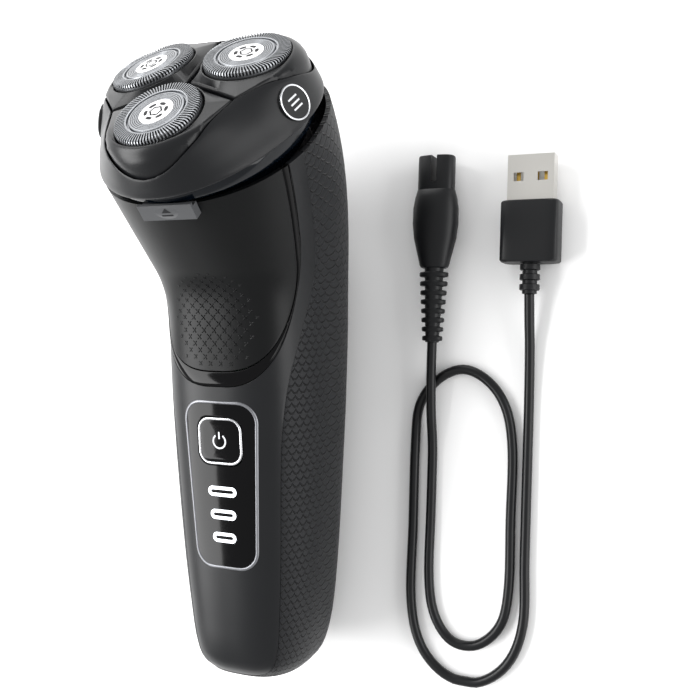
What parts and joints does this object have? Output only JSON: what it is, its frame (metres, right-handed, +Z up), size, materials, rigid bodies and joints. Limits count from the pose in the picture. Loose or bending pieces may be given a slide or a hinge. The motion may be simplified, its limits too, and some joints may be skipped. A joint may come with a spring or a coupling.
{
  "type": "electric shaver",
  "caption": "Rotary electric shaver lying on its back, three sprung guards on a hinged head, key and light bars on the handle, charging lead laid beside it.",
  "frame": {"origin": "centre of the shaver's outline on the surface it lies on, without the lead", "axes": "+Z up from the surface, +Y along the shaver from its foot to its head, +X to the side where the lead lies"},
  "size_m": [0.1044, 0.164, 0.0797],
  "materials": {
    "satin_black": "moulded grip plastic, satin, with a fine scale texture on the sides",
    "graphite": "satin graphite plastic of the front and the head",
    "neck_black": "near black plastic with small raised crosses",
    "gloss_black": "polished black plastic",
    "bowl_black": "polished black plastic with a cold tint",
    "rim_grey": "grey metallic painted rim",
    "light_pipe": "milky light bars",
    "button_black": "polished black key",
    "ring_silver": "silver ring round the key",
    "badge": "small turned metal disc",
    "release_grey": "satin grey plastic key",
    "switch_black": "switch body",
    "board_green": "circuit board with solder mask",
    "cell_blue": "sleeved cell",
    "nickel": "nickel strip",
    "motor_steel": "drawn steel can",
    "winding": "enamelled copper winding",
    "white_nylon": "moulded gear plastic",
    "frame_grey": "inner frame plastic",
    "socket_black": "socket moulding",
    "pin_metal": "plated contact pins",
    "screw_steel": "zinc plated screws",
    "seal_rubber": "soft shaft seals",
    "spring_steel": "spring steel",
    "shaft_steel": "ground shaft steel",
    "guard_steel": "ground and polished guard",
    "cap_steel": "polished cap",
    "cutter_steel": "hardened cutter",
    "retainer_plastic": "retaining ring",
    "lead_black": "soft moulded plug plastic",
    "cord_black": "soft lead sheath",
    "usb_metal": "stamped plug shell",
    "usb_white": "plug tongue",
    "contact_gold": "gilded contacts"
  },
  "bodies": {
    "handle": {"rear_shell": "satin_black", "front_shell": "graphite", "neck_panel": "neck_black", "trim_band": "gloss_black", "control_panel": "gloss_black", "panel_rim": "rim_grey", "light_bars": "light_pipe", "tact_switch": "switch_black", "circuit_board": "board_green", "battery_cell": "cell_blue", "battery_tabs": "nickel", "motor_can": "motor_steel", "inner_frame": "frame_grey", "charging_socket": "socket_black", "socket_pins": "pin_metal", "chassis_screws": "screw_steel", "gear_cover": "frame_grey", "hair_chamber": "bowl_black", "shaft_seals": "seal_rubber", "release_spring": "spring_steel", "hinge_pin": "shaft_steel", "lead_plug": "lead_black", "plug_contacts": "contact_gold", "plug_relief": "lead_black", "lead_cord": "cord_black", "usb_overmould": "lead_black", "usb_shell": "usb_metal", "usb_tongue": "usb_white", "usb_contacts": "contact_gold", "usb_relief": "lead_black"},
    "rotor": {"motor_armature": "winding", "drive_pinion": "white_nylon"},
    "power_key": {"power_button": "button_black", "button_ring": "ring_silver"},
    "release_key": {"release_button": "release_grey"},
    "head": {"head_housing": "graphite", "side_badges": "badge"},
    "front_drive": {"front_gear": "white_nylon", "front_spindle": "shaft_steel"},
    "right_drive": {"right_gear": "white_nylon", "right_spindle": "shaft_steel"},
    "left_drive": {"left_gear": "white_nylon", "left_spindle": "shaft_steel"},
    "front_pod": {"front_carrier": "graphite", "front_guard": "guard_steel", "front_cap": "cap_steel", "front_retainer": "retainer_plastic"},
    "right_pod": {"right_carrier": "graphite", "right_guard": "guard_steel", "right_cap": "cap_steel", "right_retainer": "retainer_plastic"},
    "left_pod": {"left_carrier": "graphite", "left_guard": "guard_steel", "left_cap": "cap_steel", "left_retainer": "retainer_plastic"},
    "front_blades": {"front_cutter": "cutter_steel"},
    "right_blades": {"right_cutter": "cutter_steel"},
    "left_blades": {"left_cutter": "cutter_steel"}
  },
  "joints": [
    {"name": "motor_spin", "type": "hinge", "parent": "handle", "child": "rotor", "pos_m": [0, 0.05001, 0.04481], "axis": [0, 0.6833, 0.7302], "continuous": true},
    {"name": "front_drive_spin", "type": "hinge", "parent": "handle", "child": "front_drive", "pos_m": [0, 0.04133, 0.05705], "axis": [0, 0.6833, 0.7302], "continuous": true},
    {"name": "right_drive_spin", "type": "hinge", "parent": "handle", "child": "right_drive", "pos_m": [0.01273, 0.05743, 0.04198], "axis": [0, 0.6833, 0.7302], "continuous": true},
    {"name": "left_drive_spin", "type": "hinge", "parent": "handle", "child": "left_drive", "pos_m": [-0.01273, 0.05743, 0.04198], "axis": [0, 0.6833, 0.7302], "continuous": true},
    {"name": "head_open", "type": "hinge", "parent": "handle", "child": "head", "pos_m": [0, 0.07453, 0.03501], "axis": [-1, 0, 0], "range_deg": [0, 80]},
    {"name": "front_pod_tilt", "type": "hinge", "parent": "head", "child": "front_pod", "pos_m": [0, 0.04333, 0.07572], "axis": [-1, 0, 0], "range_deg": [0, 4], "stiffness_Nm_per_rad": 0.3, "springref_deg": -2.29},
    {"name": "right_pod_tilt", "type": "hinge", "parent": "head", "child": "right_pod", "pos_m": [0.02252, 0.0718, 0.04907], "axis": [0.5, -0.6323, 0.5917], "range_deg": [0, 4], "stiffness_Nm_per_rad": 0.3, "springref_deg": -2.29},
    {"name": "left_pod_tilt", "type": "hinge", "parent": "head", "child": "left_pod", "pos_m": [-0.02252, 0.0718, 0.04907], "axis": [0.5, 0.6323, -0.5917], "range_deg": [0, 4], "stiffness_Nm_per_rad": 0.3, "springref_deg": -2.29},
    {"name": "front_cutter_spin", "type": "hinge", "parent": "front_pod", "child": "front_blades", "pos_m": [0, 0.056, 0.07345], "axis": [0, 0.6046, 0.7965], "continuous": true},
    {"name": "right_cutter_spin", "type": "hinge", "parent": "right_pod", "child": "right_blades", "pos_m": [0.01316, 0.07264, 0.05788], "axis": [0.089, 0.7172, 0.6912], "continuous": true},
    {"name": "left_cutter_spin", "type": "hinge", "parent": "left_pod", "child": "left_blades", "pos_m": [-0.01316, 0.07264, 0.05788], "axis": [-0.089, 0.7172, 0.6912], "continuous": true},
    {"name": "power_press", "type": "slide", "parent": "handle", "child": "power_key", "axis": [0, 0.0976, -0.9952], "range_m": [0, 0.0006], "stiffness_N_per_m": 600, "springref_m": -0.0005},
    {"name": "release_press", "type": "slide", "parent": "handle", "child": "release_key", "axis": [0, 0.7302, -0.6833], "range_m": [0, 0.0005], "stiffness_N_per_m": 500, "springref_m": -0.0005, "deforming": ["release_spring"]}
  ],
  "couplings": [
    {"joint": "front_drive_spin", "follows": "motor_spin", "ratio": -0.81481},
    {"joint": "right_drive_spin", "follows": "motor_spin", "ratio": -0.81481},
    {"joint": "left_drive_spin", "follows": "motor_spin", "ratio": -0.81481},
    {"joint": "front_cutter_spin", "follows": "motor_spin", "ratio": -0.81481},
    {"joint": "right_cutter_spin", "follows": "motor_spin", "ratio": -0.81481},
    {"joint": "left_cutter_spin", "follows": "motor_spin", "ratio": -0.81481}
  ]
}
